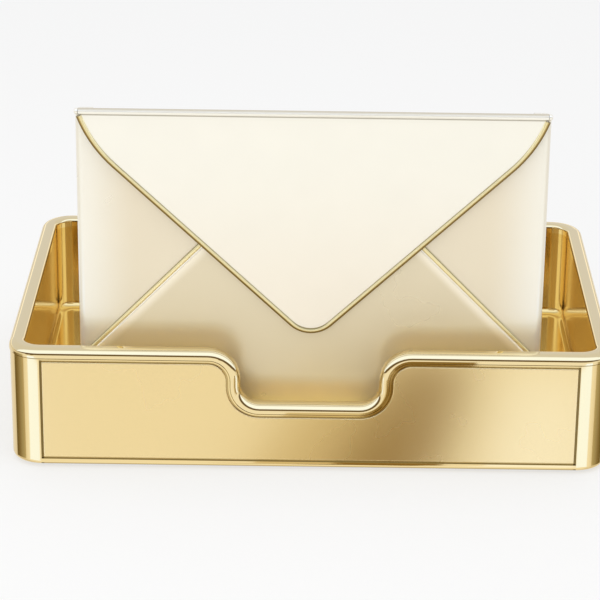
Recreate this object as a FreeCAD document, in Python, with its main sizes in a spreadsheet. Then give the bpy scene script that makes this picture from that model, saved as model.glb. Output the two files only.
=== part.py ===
"""Desk letter tray with a rigid envelope-shaped letter pocket standing in it.

Millimetres. +Z is up, the notched front wall faces -Y, and the origin is on the
table, in the middle of the tray's footprint.
"""
import FreeCAD, Part
import math
import os
import re
import Sketcher

os.makedirs("parts", exist_ok=True)
doc = FreeCAD.newDocument("letter_tray")

# Driving dimensions: alias, millimetres (degrees for the slopes), what it measures.
SIZES = (
    ("tray_width", 282, "outer faces of the side walls"),
    ("tray_depth", 183, "outer faces of the front and back walls"),
    ("rim_height", 60.4, "table to the top of the rim"),
    ("corner_radius", 15, "outer corners of the walls, seen from above"),
    ("wall_thickness", 7.2, "outer face to inner face of the double wall"),
    ("shell_sheet", 1.6, "walls of the outer shell"),
    ("liner_sheet", 1.0, "sheet of the inner liner"),
    ("floor_fillet", 3.0, "inside radius between the liner's floor and walls"),
    ("lip_height", 4.4, "top of the rim moulding to its underside"),
    ("lip_overhang", 0.4, "how far the rim moulding stands proud of the outer shell"),
    ("lip_outer_round", 3.4, "outer top edge of the rim moulding"),
    ("lip_inner_round", 1.9, "inner top edge of the rim moulding"),
    ("lip_edge_round", 0.4, "lower outer edge of the rim moulding"),
    ("notch_half_width", 32.5, "middle of the finger notch to its upright sides"),
    ("notch_depth", 26.8, "rim top to the bottom of the notch"),
    ("notch_shoulder_radius", 15, "upper bends of the notch, on top of the moulding"),
    ("notch_foot_radius", 9, "lower bends of the notch, on top of the moulding"),
    ("foot_reach", 1.2, "how far the feet stand out below the tray"),
    ("foot_radius", 7, "rubber foot"),
    ("foot_round", 0.4, "lower edge of a foot"),
    ("foot_recess", 1.0, "how deep the feet sit in the floor board"),
    ("foot_inset", 20, "walls' outer faces to a foot's middle"),
    ("base_rail_height", 4.0, "thick foot of the outer shell, which stiffens it"),
    ("base_rail_width", 5.0, "outer face of the walls to that foot's inner edge"),
    ("base_round", 2.4, "lower outer edge of the outer shell"),
    ("rebate_width", 2.0, "step under that foot that takes the base plate"),
    ("reveal_height", 0.5, "shadow line round the shell, under the rim moulding"),
    ("reveal_depth", 0.5, "how far that line is cut into the shell"),
    ("panel_sheet", 0.9, "satin panel let into the front wall"),
    ("panel_gap", 1.0, "line round the front panel"),
    ("panel_frame_top", 1.05, "strip of the shell between the rim moulding and that line"),
    ("panel_frame_foot", 3.3, "strip of the shell between its lower edge and that line"),
    ("panel_edge_round", 0.4, "outer edges of the front panel"),
    ("plate_sheet", 1.0, "base plate"),
    ("board_thickness", 7.6, "floor board between the base plate and the liner"),
    ("fit_gap", 0.1, "clearance of a fixed piece that drops into another"),
    ("screw_radius", 1.2, "shank of every screw"),
    ("screw_head_radius", 2.5, "head of every screw"),
    ("screw_head_height", 0.75, "head of every screw"),
    ("screw_bite", 4.2, "how deep a screw reaches into the floor board"),
    ("plate_screw_spread", 30, "middle of the tray to the front and back screws of the base plate"),
    ("rail_length", 160, "channel that holds the envelope upright"),
    ("rail_screw_inset", 20, "ends of the rail to its outer screws"),
    ("rail_sheet", 1.0, "sheet of the channel"),
    ("rail_height", 10, "channel, above the liner's floor"),
    ("felt_thickness", 0.8, "lining of the channel"),
    ("slip_gap", 0.3, "clearance of the envelope in the lined channel, each side"),
    ("rest_gap", 0.15, "envelope's underside to the felt"),
    ("envelope_width", 217.5, "side edges of the envelope"),
    ("envelope_set_back", 17, "front of the tray to the front of the closing flap"),
    ("hinge_height", 170.9, "table to the middle of the hinge rod"),
    ("hinge_drop", 0.7, "middle of the hinge rod to the top of the corner caps"),
    ("flap_sheet", 1.0, "sheet of the closing flap"),
    ("flap_gap", 1.0, "closing flap to the bottom flap behind it"),
    ("bottom_sheet", 1.5, "sheet of the bottom flap"),
    ("seam_edge_round", 1.2, "edges of the bottom flap along the seams"),
    ("front_sheet", 0.8, "sheet of the side flaps"),
    ("pocket_gap", 5.0, "room for letters behind the side flaps"),
    ("back_sheet", 1.0, "sheet of the back panel"),
    ("edge_sheet", 1.8, "wall along the envelope's edges"),
    ("edge_round", 3.2, "round of the envelope's side edges"),
    ("envelope_corner", 3.8, "lower corners of the envelope, seen from the front"),
    ("seam_slope", 45.6, "seams between the bottom flap and the side flaps, degrees"),
    ("seam_foot_rise", 37.0, "underside of the envelope to a seam's lower end"),
    ("seam_top_rise", 11, "a seam's meeting with the flap's edge to the bottom flap's top"),
    ("seam_top_round", 8, "upper corners of the bottom flap"),
    ("seam_bead_width", 1.8, "trim wire along a seam"),
    ("seam_bead_height", 1.3, "trim wire along a seam"),
    ("seam_bead_round", 0.8, "long upper edges of the trim wire"),
    ("seam_bead_tuck", 4.4, "how far the trim wire runs on under the closing flap"),
    ("side_flap_top", 10, "top edge of a side flap, from the side"),
    ("side_flap_tip", 20, "middle of the envelope to a side flap's tip"),
    ("side_flap_root", 60, "middle of the envelope to a side flap's lower inner corner"),
    ("cap_length", 8, "corner cap along the top edge"),
    ("cap_height", 2.0, "corner cap above the envelope's walls"),
    ("cap_plug", 5.0, "how far a corner cap reaches into the pocket"),
    ("cap_round", 1.4, "outer edges of a corner cap"),
    ("lug_width", 1.6, "ear of a corner cap that holds the hinge rod"),
    ("ear_round", 1.1, "outer end of an ear"),
    ("rod_hold", 1.0, "how deep the hinge rod sits in an ear"),
    ("hinge_side_gap", 0.25, "closing flap's barrel to a corner cap's ear"),
    ("barrel_radius", 1.5, "rolled top edge of the closing flap"),
    ("rod_radius", 0.8, "hinge rod"),
    ("rod_clearance", 0.05, "running fit of the barrel on the hinge rod"),
    ("flap_slope", 43.2, "straight edges of the closing flap, degrees"),
    ("flap_tip_radius", 13, "tip of the closing flap"),
    ("flap_shoulder_radius", 61, "bend of the flap's edge near the top corners"),
    ("flap_shoulder_turn", 26.7, "how far that bend turns the edge, degrees"),
    ("flap_edge_inset", 0.3, "end of the barrel to the end of the flap's edge"),
    ("piping_radius", 1.4, "piping along the flap's edge"),
    ("piping_end_gap", 0.6, "barrel to the ends of the piping"),
    ("overrun", 2.0, "how far every cutting shape runs past what it cuts"),
)

sheet = doc.addObject("Spreadsheet::Sheet", "sizes")
for row, (alias, number, note) in enumerate(SIZES, start=1):
    sheet.set(f"A{row}", alias)
    sheet.set(f"B{row}", str(number))
    sheet.set(f"C{row}", note)
    sheet.setAlias(f"B{row}", alias)
doc.recompute()

ALIASES = {alias for alias, number, note in SIZES}

# Derived places. Distances "ahead" are measured from the tray's middle towards the front. The
# closing flap hangs from its top corners, and the seams run up to where they meet its edge.
FLAP_AHEAD = "(tray_depth / 2 - envelope_set_back)"
FLAP_REAR = f"({FLAP_AHEAD} - flap_sheet)"
HINGE_AHEAD = f"({FLAP_AHEAD} - flap_sheet / 2)"
FRONT_AHEAD = f"({FLAP_REAR} - flap_gap)"
SIDE_AHEAD = f"({FRONT_AHEAD} - bottom_sheet)"
BACK_AHEAD = f"({SIDE_AHEAD} - front_sheet - pocket_gap - back_sheet)"
JOIN_AHEAD = f"(({SIDE_AHEAD} + {BACK_AHEAD}) / 2)"
PLATE_LEVEL = "foot_reach"
BOARD_LEVEL = "(foot_reach + plate_sheet)"
LINER_LEVEL = f"({BOARD_LEVEL} + board_thickness)"
FLOOR_LEVEL = f"({LINER_LEVEL} + liner_sheet)"
LIP_LEVEL = "(rim_height - lip_height)"
RAIL_AHEAD = f"({FRONT_AHEAD} + slip_gap + felt_thickness + rail_sheet)"
RAIL_REAR = f"({BACK_AHEAD} - slip_gap - felt_thickness - rail_sheet)"
ENVELOPE_LEVEL = f"({FLOOR_LEVEL} + rail_sheet + felt_thickness + rest_gap)"
CAP_TOP = "(hinge_height - hinge_drop)"
WALL_TOP = f"({CAP_TOP} - cap_height)"
LUG_INNER = "(envelope_width / 2 - lug_width)"
BARREL_END = f"({LUG_INNER} - hinge_side_gap)"
FLAP_END = f"({BARREL_END} - flap_edge_inset)"
PIPING_TOP = "(hinge_height - barrel_radius - piping_end_gap)"
SHOULDER_DROP = "(flap_shoulder_radius * (1 - cos(flap_shoulder_turn)))"
FLAP_DEPTH = f"(({SHOULDER_DROP} + {FLAP_END} * sin(flap_slope) - flap_tip_radius) / cos(flap_slope))"
FLAP_TIP = f"({PIPING_TOP} - flap_tip_radius - {FLAP_DEPTH})"
TAN_FLAP = "tan(flap_slope)"
TAN_SEAM = "tan(seam_slope)"
FLAP_CROSS = f"({FLAP_TIP} + flap_tip_radius - flap_tip_radius / cos(flap_slope))"
SEAM_HALF = "(envelope_width / 2 - edge_round)"
SEAM_FOOT = f"({ENVELOPE_LEVEL} + seam_foot_rise)"
MEET_X = f"(({SEAM_FOOT} + {SEAM_HALF} * {TAN_SEAM} - {FLAP_CROSS}) / ({TAN_FLAP} + {TAN_SEAM}))"
MEET_LEVEL = f"({FLAP_CROSS} + {MEET_X} * {TAN_FLAP})"
SEAM_HEAD_X = f"({MEET_X} - seam_top_rise / {TAN_SEAM})"
SEAM_TOP = f"({MEET_LEVEL} + seam_top_rise)"


def linked(expression):
    """The expression with every alias pointing at the spreadsheet."""
    def link(match):
        word = match.group(0)
        return f"sizes.{word}" if word in ALIASES else word
    return re.sub(r"[a-z_]+", link, str(expression))


def value(expression):
    """The number that an expression has now."""
    return float(sheet.evalExpression(str(expression)))


def bind(thing, field, expression):
    """Ties one property of an object to the spreadsheet."""
    thing.setExpression(field, linked(expression))


def new_body(label):
    body = doc.addObject("PartDesign::Body", label)
    body.Label = label
    return body


def new_sketch(body, name, role, offset="0"):
    """A sketch on one of the body's own origin planes, moved along its normal."""
    plane = next(item for item in body.Origin.OriginFeatures if item.Role == role)
    sketch = body.newObject("Sketcher::SketchObject", f"{body.Label}_{name}")
    sketch.AttachmentSupport = [(plane, "")]
    sketch.MapMode = "FlatFace"
    bind(sketch, "AttachmentOffset.Base.z", offset)
    return sketch


def pin_point(sketch, geometry, end, x, y):
    """Fixes a point of the sketch at two expressions."""
    for kind, expression in (("DistanceX", x), ("DistanceY", y)):
        constraint = Sketcher.Constraint(kind, -1, 1, geometry, end, value(expression))
        index = sketch.addConstraint(constraint)
        bind(sketch, f"Constraints[{index}]", expression)


def size_arc(sketch, geometry, expression):
    index = sketch.addConstraint(Sketcher.Constraint("Radius", geometry, value(expression)))
    bind(sketch, f"Constraints[{index}]", expression)


def draw_polygon(sketch, corners):
    """A closed outline of straight sides; a corner (x, y, radius) is rounded, (x, y) is sharp."""
    spots = [FreeCAD.Vector(value(corner[0]), value(corner[1]), 0) for corner in corners]
    count = len(corners)
    enters = []
    leaves = []
    arcs = []
    for index, corner in enumerate(corners):
        spot = spots[index]
        before = (spots[index - 1] - spot).normalize()
        after = (spots[(index + 1) % count] - spot).normalize()
        if len(corner) == 2:
            enters.append(spot)
            leaves.append(spot)
            arcs.append(None)
            continue
        radius = value(corner[2])
        half_angle = before.getAngle(after) / 2
        reach = radius / math.tan(half_angle)
        enter = spot + before * reach
        leave = spot + after * reach
        middle = spot + (before + after).normalize() * (radius / math.sin(half_angle))
        left_turn = before.cross(after).z < 0
        first = enter - middle if left_turn else leave - middle
        last = leave - middle if left_turn else enter - middle
        start = math.atan2(first.y, first.x)
        stop = math.atan2(last.y, last.x)
        if stop < start:
            stop += 2 * math.pi
        enters.append(enter)
        leaves.append(leave)
        circle = Part.Circle(middle, FreeCAD.Vector(0, 0, 1), radius)
        arcs.append((Part.ArcOfCircle(circle, start, stop), left_turn))
    lines = []
    for index in range(count):
        lines.append(sketch.addGeometry(Part.LineSegment(leaves[index], enters[(index + 1) % count])))
    for index, corner in enumerate(corners):
        incoming = lines[index - 1]
        outgoing = lines[index]
        if arcs[index] is None:
            sketch.addConstraint(Sketcher.Constraint("Coincident", incoming, 2, outgoing, 1))
            pin_point(sketch, outgoing, 1, corner[0], corner[1])
            continue
        curve, left_turn = arcs[index]
        arc = sketch.addGeometry(curve)
        arc_start, arc_stop = (1, 2) if left_turn else (2, 1)
        sketch.addConstraint(Sketcher.Constraint("Tangent", incoming, 2, arc, arc_start))
        sketch.addConstraint(Sketcher.Constraint("Tangent", arc, arc_stop, outgoing, 1))
        size_arc(sketch, arc, corner[2])
        tip = sketch.addGeometry(Part.Point(spots[index]), True)
        pin_point(sketch, tip, 1, corner[0], corner[1])
        sketch.addConstraint(Sketcher.Constraint("PointOnObject", tip, 1, incoming))
        sketch.addConstraint(Sketcher.Constraint("PointOnObject", tip, 1, outgoing))


def draw_circle(sketch, x, y, radius):
    middle = FreeCAD.Vector(value(x), value(y), 0)
    circle = sketch.addGeometry(Part.Circle(middle, FreeCAD.Vector(0, 0, 1), value(radius)))
    pin_point(sketch, circle, 3, x, y)
    size_arc(sketch, circle, radius)


def rounded_plan(inset):
    """The walls' outline seen from above, drawn in by an inset."""
    x = f"(tray_width / 2 - ({inset}))"
    y = f"(tray_depth / 2 - ({inset}))"
    radius = f"corner_radius - ({inset})"
    return ((f"-{x}", f"-{y}", radius), (x, f"-{y}", radius), (x, y, radius), (f"-{x}", y, radius))


def notch_line(drop):
    """The front wall's top line from left to right, a given drop below the rim moulding's top."""
    side = f"(notch_half_width + ({drop}))"
    top = f"(rim_height - ({drop}))"
    bottom = f"(rim_height - notch_depth - ({drop}))"
    shoulder = f"notch_shoulder_radius - ({drop})"
    foot = f"notch_foot_radius + ({drop})"
    return (
        (f"-{side}", top, shoulder),
        (f"-{side}", bottom, foot),
        (side, bottom, foot),
        (side, top, shoulder),
    )


def add_pad(body, sketch, length, symmetric=False, reverse=False):
    feature = body.newObject("PartDesign::Pad", f"{sketch.Name}_pad")
    feature.Profile = sketch
    feature.Reversed = reverse
    feature.SideType = "Symmetric" if symmetric else "One side"
    bind(feature, "Length", length)
    doc.recompute()
    return feature


def add_pocket(body, sketch, length, reverse=False, symmetric=False):
    """Cuts the sketch's area out of the body and makes sure that something went."""
    before = body.Tip.Shape.Volume
    feature = body.newObject("PartDesign::Pocket", f"{sketch.Name}_pocket")
    feature.Profile = sketch
    feature.Reversed = reverse
    feature.SideType = "Symmetric" if symmetric else "One side"
    bind(feature, "Length", length)
    doc.recompute()
    if feature.Shape.Volume >= before:
        raise RuntimeError(f"{feature.Name} cuts nothing")
    return feature


def round_edges(body, radius, wanted, name):
    """Rounds every edge of the body that the test in wanted accepts."""
    solid = body.Tip
    names = [f"Edge{number}" for number, edge in enumerate(solid.Shape.Edges, start=1) if wanted(edge)]
    if not names:
        raise RuntimeError(f"{body.Label} has no edge for {name}")
    feature = body.newObject("PartDesign::Fillet", f"{body.Label}_{name}")
    feature.Base = (solid, names)
    bind(feature, "Radius", radius)
    doc.recompute()
    return feature


def edge_middle(edge):
    first, last = edge.ParameterRange
    return edge.valueAt((first + last) / 2)


def outside_plan(point, inset):
    """How far a point is outside the walls' outline drawn in by an inset."""
    corner = value(f"corner_radius - ({inset})")
    across = abs(point.x) - value(f"tray_width / 2 - ({inset})") + corner
    along = abs(point.y) - value(f"tray_depth / 2 - ({inset})") + corner
    return math.hypot(max(across, 0), max(along, 0)) + min(max(across, along), 0) - corner


NEAR_SHARE = 0.01
NEAR = NEAR_SHARE * value("overrun")


def on_wall(edge, inset):
    return abs(outside_plan(edge_middle(edge), inset)) < NEAR


def at_height(edge, expression):
    height = value(expression)
    return abs(edge.BoundBox.ZMin - height) < NEAR and abs(edge.BoundBox.ZMax - height) < NEAR


def cut_notch(body, drop):
    """Opens the front wall down to the notch line."""
    line = notch_line(drop)
    far = "(notch_half_width + notch_shoulder_radius + overrun)"
    top = line[0][1]
    above = f"{top} + lip_height + overrun"
    sketch = new_sketch(body, "notch", "XZ_Plane")
    draw_polygon(sketch, ((f"-{far}", top), *line, (far, top), (far, above), (f"-{far}", above)))
    add_pocket(body, sketch, "tray_depth / 2 + overrun", reverse=True)


# Outer shell: the four cast and polished walls on a thick foot, notched and recessed in front.
shell = new_body("outer_shell")
base_ring = new_sketch(shell, "base_ring", "XY_Plane", PLATE_LEVEL)
draw_polygon(base_ring, rounded_plan("0"))
draw_polygon(base_ring, rounded_plan("base_rail_width"))
add_pad(shell, base_ring, "base_rail_height")
band = new_sketch(shell, "walls", "XY_Plane", PLATE_LEVEL)
draw_polygon(band, rounded_plan("0"))
draw_polygon(band, rounded_plan("shell_sheet"))
add_pad(shell, band, f"{LIP_LEVEL} - {PLATE_LEVEL}")
rebate = new_sketch(shell, "rebate", "XY_Plane", PLATE_LEVEL)
draw_polygon(rebate, rounded_plan("base_rail_width - rebate_width"))
add_pocket(shell, rebate, "plate_sheet", reverse=True)
cut_notch(shell, "lip_height")
round_edges(
    shell, "base_round",
    lambda edge: at_height(edge, PLATE_LEVEL) and on_wall(edge, "0"), "lower_edge",
)


# The shadow line: the shell's outer top edge is stepped back, along the notch too.
top_step = new_sketch(shell, "top_step", "XY_Plane", LIP_LEVEL)
draw_polygon(top_step, rounded_plan("-overrun"))
draw_polygon(top_step, rounded_plan("reveal_depth"))
add_pocket(shell, top_step, "reveal_height")
upper_line = notch_line("lip_height - overrun")
lower_line = notch_line("lip_height + reveal_height")
step_side = "(tray_width / 2 - corner_radius)"
step_outline = (
    (f"-{step_side}", upper_line[0][1]), *upper_line, (step_side, upper_line[0][1]),
    (step_side, lower_line[0][1]), *reversed(lower_line), (f"-{step_side}", lower_line[0][1]),
)
notch_step = new_sketch(shell, "notch_step", "XZ_Plane", "tray_depth / 2")
draw_polygon(notch_step, step_outline)
add_pocket(shell, notch_step, "reveal_depth")


def panel_outline(inset):
    """The front panel's recess, or the panel itself, seen from the front and drawn in by an inset."""
    side = f"(tray_width / 2 - corner_radius - ({inset}))"
    foot = f"({PLATE_LEVEL} + panel_frame_foot + ({inset}))"
    line = notch_line(f"lip_height + panel_frame_top + ({inset})")
    top = line[0][1]
    return ((f"-{side}", foot), (f"-{side}", top), *line, (side, top), (side, foot))


recess = new_sketch(shell, "recess", "XZ_Plane", "tray_depth / 2")
draw_polygon(recess, panel_outline("0"))
add_pocket(shell, recess, "panel_sheet")

# Front panel: a satin plate let into the shell's recess, flush with it, with a line all round.
front_panel = new_body("front_panel")
panel_plan = new_sketch(front_panel, "outline", "XZ_Plane", "tray_depth / 2 - panel_sheet")
draw_polygon(panel_plan, panel_outline("panel_gap"))
add_pad(front_panel, panel_plan, "panel_sheet")


def panel_face_edge(edge):
    face = -value("tray_depth / 2")
    return abs(edge.BoundBox.YMin - face) < NEAR and abs(edge.BoundBox.YMax - face) < NEAR


round_edges(front_panel, "panel_edge_round", panel_face_edge, "round")

# Inner liner: a polished pan pressed from one sheet, which makes the inside and the floor.
liner = new_body("inner_liner")
block = new_sketch(liner, "block", "XY_Plane", LINER_LEVEL)
draw_polygon(block, rounded_plan("wall_thickness - liner_sheet"))
add_pad(liner, block, f"{LIP_LEVEL} - {LINER_LEVEL}")
hollow = new_sketch(liner, "hollow", "XY_Plane", LIP_LEVEL)
draw_polygon(hollow, rounded_plan("wall_thickness"))
add_pocket(liner, hollow, f"{LIP_LEVEL} - {FLOOR_LEVEL}")
round_edges(
    liner, "floor_fillet",
    lambda edge: at_height(edge, FLOOR_LEVEL) and on_wall(edge, "wall_thickness"), "floor",
)
round_edges(
    liner, "floor_fillet + liner_sheet",
    lambda edge: at_height(edge, LINER_LEVEL), "underside",
)
cut_notch(liner, "lip_height")


# Rim moulding: a cast lip that caps the gap between shell and liner and follows the notch.
rim = new_body("rim_moulding")
ring = new_sketch(rim, "ring", "XY_Plane", "rim_height")
draw_polygon(ring, rounded_plan("-lip_overhang"))
draw_polygon(ring, rounded_plan("wall_thickness"))
add_pad(rim, ring, "notch_depth + 2 * lip_height", reverse=True)
RIM_BOTTOM = "(rim_height - notch_depth - 2 * lip_height)"
cut_notch(rim, "0")


def along_lip(edge, inset):
    """True for the lip's upper edge on one face of the wall, down into the notch and out."""
    if not on_wall(edge, inset) or at_height(edge, RIM_BOTTOM):
        return False
    upright = edge.BoundBox.XLength < NEAR and edge.BoundBox.YLength < NEAR
    return not upright or abs(edge_middle(edge).x) < value("notch_half_width") + NEAR


round_edges(rim, "lip_outer_round", lambda edge: along_lip(edge, "-lip_overhang"), "outer_round")
round_edges(rim, "lip_inner_round", lambda edge: along_lip(edge, "wall_thickness"), "inner_round")
front_under = new_sketch(rim, "front_under", "XZ_Plane")
FAR_SIDE = "(tray_width / 2 + lip_overhang + overrun)"
line = notch_line("lip_height")
low = f"{RIM_BOTTOM} - overrun"
draw_polygon(
    front_under,
    ((f"-{FAR_SIDE}", low), (f"-{FAR_SIDE}", LIP_LEVEL), *line, (FAR_SIDE, LIP_LEVEL), (FAR_SIDE, low)),
)
add_pocket(rim, front_under, "tray_depth / 2 + lip_overhang + overrun", reverse=True)
back_under = new_sketch(rim, "back_under", "XZ_Plane")
draw_polygon(
    back_under,
    ((f"-{FAR_SIDE}", low), (f"-{FAR_SIDE}", LIP_LEVEL), (FAR_SIDE, LIP_LEVEL), (FAR_SIDE, low)),
)
add_pocket(rim, back_under, "tray_depth / 2 + lip_overhang + overrun")


# Where the feet and the screws go.
FOOT_X = "(tray_width / 2 - foot_inset)"
FOOT_Y = "(tray_depth / 2 - foot_inset)"
FEET = (
    ("front_left_foot", f"-{FOOT_X}", f"-{FOOT_Y}"),
    ("front_right_foot", FOOT_X, f"-{FOOT_Y}"),
    ("back_left_foot", f"-{FOOT_X}", FOOT_Y),
    ("back_right_foot", FOOT_X, FOOT_Y),
)
PLATE_SCREWS = (
    ("-plate_screw_spread", f"-{FOOT_Y}"),
    ("plate_screw_spread", f"-{FOOT_Y}"),
    ("-plate_screw_spread", FOOT_Y),
    ("plate_screw_spread", FOOT_Y),
    (f"-{FOOT_X}", "0"),
    (FOOT_X, "0"),
)
RAIL_Y = f"(-({RAIL_AHEAD} + {RAIL_REAR}) / 2)"
RAIL_SCREW_X = "(rail_length / 2 - rail_screw_inset)"
RAIL_SCREWS = tuple((x, RAIL_Y) for x in (f"-{RAIL_SCREW_X}", "0", RAIL_SCREW_X))


def drill(body, name, level, radius, places, length, reverse=False):
    """Round holes at a list of places, cut downwards from a level, or upwards if reversed."""
    sketch = new_sketch(body, name, "XY_Plane", level)
    for x, y in places:
        draw_circle(sketch, x, y, radius)
    add_pocket(body, sketch, length, reverse=reverse)


# Floor board: fibreboard that stiffens the floor, weighs the tray down and takes the screws.
board = new_body("floor_board")
board_plan = new_sketch(board, "plan", "XY_Plane", BOARD_LEVEL)
draw_polygon(board_plan, rounded_plan("base_rail_width + fit_gap"))
add_pad(board, board_plan, "board_thickness")
foot_places = tuple((x, y) for name, x, y in FEET)
drill(board, "foot_seats", BOARD_LEVEL, "foot_radius + fit_gap", foot_places, "foot_recess", reverse=True)
drill(board, "foot_pilots", BOARD_LEVEL, "screw_radius", foot_places, "screw_bite", reverse=True)
drill(board, "plate_pilots", BOARD_LEVEL, "screw_radius", PLATE_SCREWS, "screw_bite", reverse=True)
drill(board, "rail_pilots", LINER_LEVEL, "screw_radius", RAIL_SCREWS, "screw_bite")
drill(liner, "rail_holes", FLOOR_LEVEL, "screw_radius", RAIL_SCREWS, "liner_sheet + overrun")

# Base plate: closes the tray underneath and clamps the shell's foot to the floor board.
plate = new_body("base_plate")
plate_plan = new_sketch(plate, "plan", "XY_Plane", PLATE_LEVEL)
draw_polygon(plate_plan, rounded_plan("base_rail_width - rebate_width + fit_gap"))
add_pad(plate, plate_plan, "plate_sheet")
drill(plate, "foot_holes", BOARD_LEVEL, "foot_radius + fit_gap", foot_places, "plate_sheet + overrun")
drill(plate, "screw_holes", BOARD_LEVEL, "screw_radius", PLATE_SCREWS, "plate_sheet + overrun")


FOOT_HEIGHT = "(foot_reach + plate_sheet + foot_recess)"


def make_foot(label, x, y):
    """A rubber foot with a sunk screw in its middle."""
    foot = new_body(label)
    disc = new_sketch(foot, "disc", "XY_Plane")
    draw_circle(disc, x, y, "foot_radius")
    add_pad(foot, disc, FOOT_HEIGHT)
    place = ((x, y),)
    drill(foot, "hole", "0", "screw_radius", place, FOOT_HEIGHT, reverse=True)
    drill(foot, "sink", "0", "screw_head_radius + fit_gap", place, "foot_reach", reverse=True)
    round_edges(
        foot, "foot_round",
        lambda edge: at_height(edge, "0") and edge.Curve.Radius > value("foot_radius") - NEAR, "rim",
    )


for foot_label, foot_x, foot_y in FEET:
    make_foot(foot_label, foot_x, foot_y)


def make_screws(label, places, seat, grip, upwards):
    """Equal flat-headed screws: heads against a seat, shanks on through it into the board."""
    head_level = f"{seat} - screw_head_height" if upwards else seat
    shank_level = head_level if upwards else f"{seat} - {grip}"
    screws = []
    for number, (x, y) in enumerate(places, start=1):
        head = doc.addObject("Part::Cylinder", f"{label}_head_{number}")
        bind(head, "Radius", "screw_head_radius")
        bind(head, "Height", "screw_head_height")
        bind(head, "Placement.Base.z", head_level)
        shank = doc.addObject("Part::Cylinder", f"{label}_shank_{number}")
        bind(shank, "Radius", "screw_radius")
        bind(shank, "Height", f"{grip} + screw_head_height")
        bind(shank, "Placement.Base.z", shank_level)
        for piece in (head, shank):
            bind(piece, "Placement.Base.x", x)
            bind(piece, "Placement.Base.y", y)
        screw = doc.addObject("Part::Fuse", f"{label}_{number}")
        screw.Base = head
        screw.Tool = shank
        screws.append(screw)
    group = doc.addObject("Part::Compound", label)
    group.Label = label
    group.Links = screws


FOOT_GRIP = "(plate_sheet + screw_bite)"
make_screws("foot_screws", foot_places, "foot_reach", FOOT_GRIP, True)
make_screws("base_screws", PLATE_SCREWS, PLATE_LEVEL, FOOT_GRIP, True)
RAIL_GRIP = "(rail_sheet + liner_sheet + screw_bite)"
make_screws("rail_screws", RAIL_SCREWS, f"({FLOOR_LEVEL} + rail_sheet)", RAIL_GRIP, False)


def make_channel(label, inset, level, sheet_size, height):
    """A channel along X, open at the top; the rail is the outermost one, inset 0."""
    channel = new_body(label)
    profile = new_sketch(channel, "profile", "YZ_Plane")
    front = f"(-{RAIL_AHEAD} + ({inset}))"
    back = f"(-{RAIL_REAR} - ({inset}))"
    top = f"({FLOOR_LEVEL} + {height})"
    draw_polygon(
        profile,
        (
            (front, level), (back, level), (back, top), (f"{back} - {sheet_size}", top),
            (f"{back} - {sheet_size}", f"{level} + {sheet_size}"),
            (f"{front} + {sheet_size}", f"{level} + {sheet_size}"),
            (f"{front} + {sheet_size}", top), (front, top),
        ),
    )
    add_pad(channel, profile, "rail_length", symmetric=True)
    return channel


# Envelope rail: a brass channel screwed to the floor, hidden behind the front wall.
rail = make_channel("envelope_rail", "0", FLOOR_LEVEL, "rail_sheet", "rail_height")
drill(rail, "holes", FLOOR_LEVEL, "screw_radius", RAIL_SCREWS, "rail_sheet + overrun", reverse=True)
RAIL_FLOOR = f"({FLOOR_LEVEL} + rail_sheet)"
felt = make_channel("rail_felt", "rail_sheet", RAIL_FLOOR, "felt_thickness", "rail_height")
felt_hole = "screw_head_radius + fit_gap"
drill(felt, "holes", RAIL_FLOOR, felt_hole, RAIL_SCREWS, "felt_thickness + overrun", reverse=True)

# Back panel of the envelope: a shallow pan, open in front and at the top.
HALF_WIDTH = "(envelope_width / 2)"
back_panel = new_body("back_panel")
back_outline = new_sketch(back_panel, "outline", "XZ_Plane", BACK_AHEAD)
ENVELOPE_FRONT = (
    (f"-{HALF_WIDTH}", WALL_TOP),
    (f"-{HALF_WIDTH}", ENVELOPE_LEVEL, "envelope_corner"),
    (HALF_WIDTH, ENVELOPE_LEVEL, "envelope_corner"),
    (HALF_WIDTH, WALL_TOP),
)
draw_polygon(back_outline, ENVELOPE_FRONT)
add_pad(back_panel, back_outline, f"{JOIN_AHEAD} - {BACK_AHEAD}")


def outer_edge(edge, ahead):
    """True for the edges round the envelope's outline, but not its top, at one depth."""
    box = edge.BoundBox
    place = -value(ahead)
    flat = abs(box.YMin - place) < NEAR and abs(box.YMax - place) < NEAR
    middle = edge_middle(edge)
    half = value(HALF_WIDTH) - value("envelope_corner")
    low = value(ENVELOPE_LEVEL) + value("envelope_corner")
    return flat and middle.z < value(WALL_TOP) - NEAR and (abs(middle.x) > half or middle.z < low)


round_edges(back_panel, "edge_round", lambda edge: outer_edge(edge, BACK_AHEAD), "round")
inner_half = f"({HALF_WIDTH} - edge_sheet)"
inner_low = f"({ENVELOPE_LEVEL} + edge_sheet)"
inner_corner = "envelope_corner - edge_sheet"
past_top = f"({WALL_TOP} + overrun)"
back_hollow = new_sketch(back_panel, "hollow", "XZ_Plane", JOIN_AHEAD)
draw_polygon(
    back_hollow,
    (
        (f"-{inner_half}", past_top), (f"-{inner_half}", inner_low, inner_corner),
        (inner_half, inner_low, inner_corner), (inner_half, past_top),
    ),
)
add_pocket(back_panel, back_hollow, f"{JOIN_AHEAD} - {BACK_AHEAD} - back_sheet")

# Side flaps: each wraps round one side edge of the envelope and runs under the bottom flap.
TIP_LEVEL = f"({WALL_TOP} - ({HALF_WIDTH} - side_flap_top - side_flap_tip) * {TAN_FLAP})"


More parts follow.
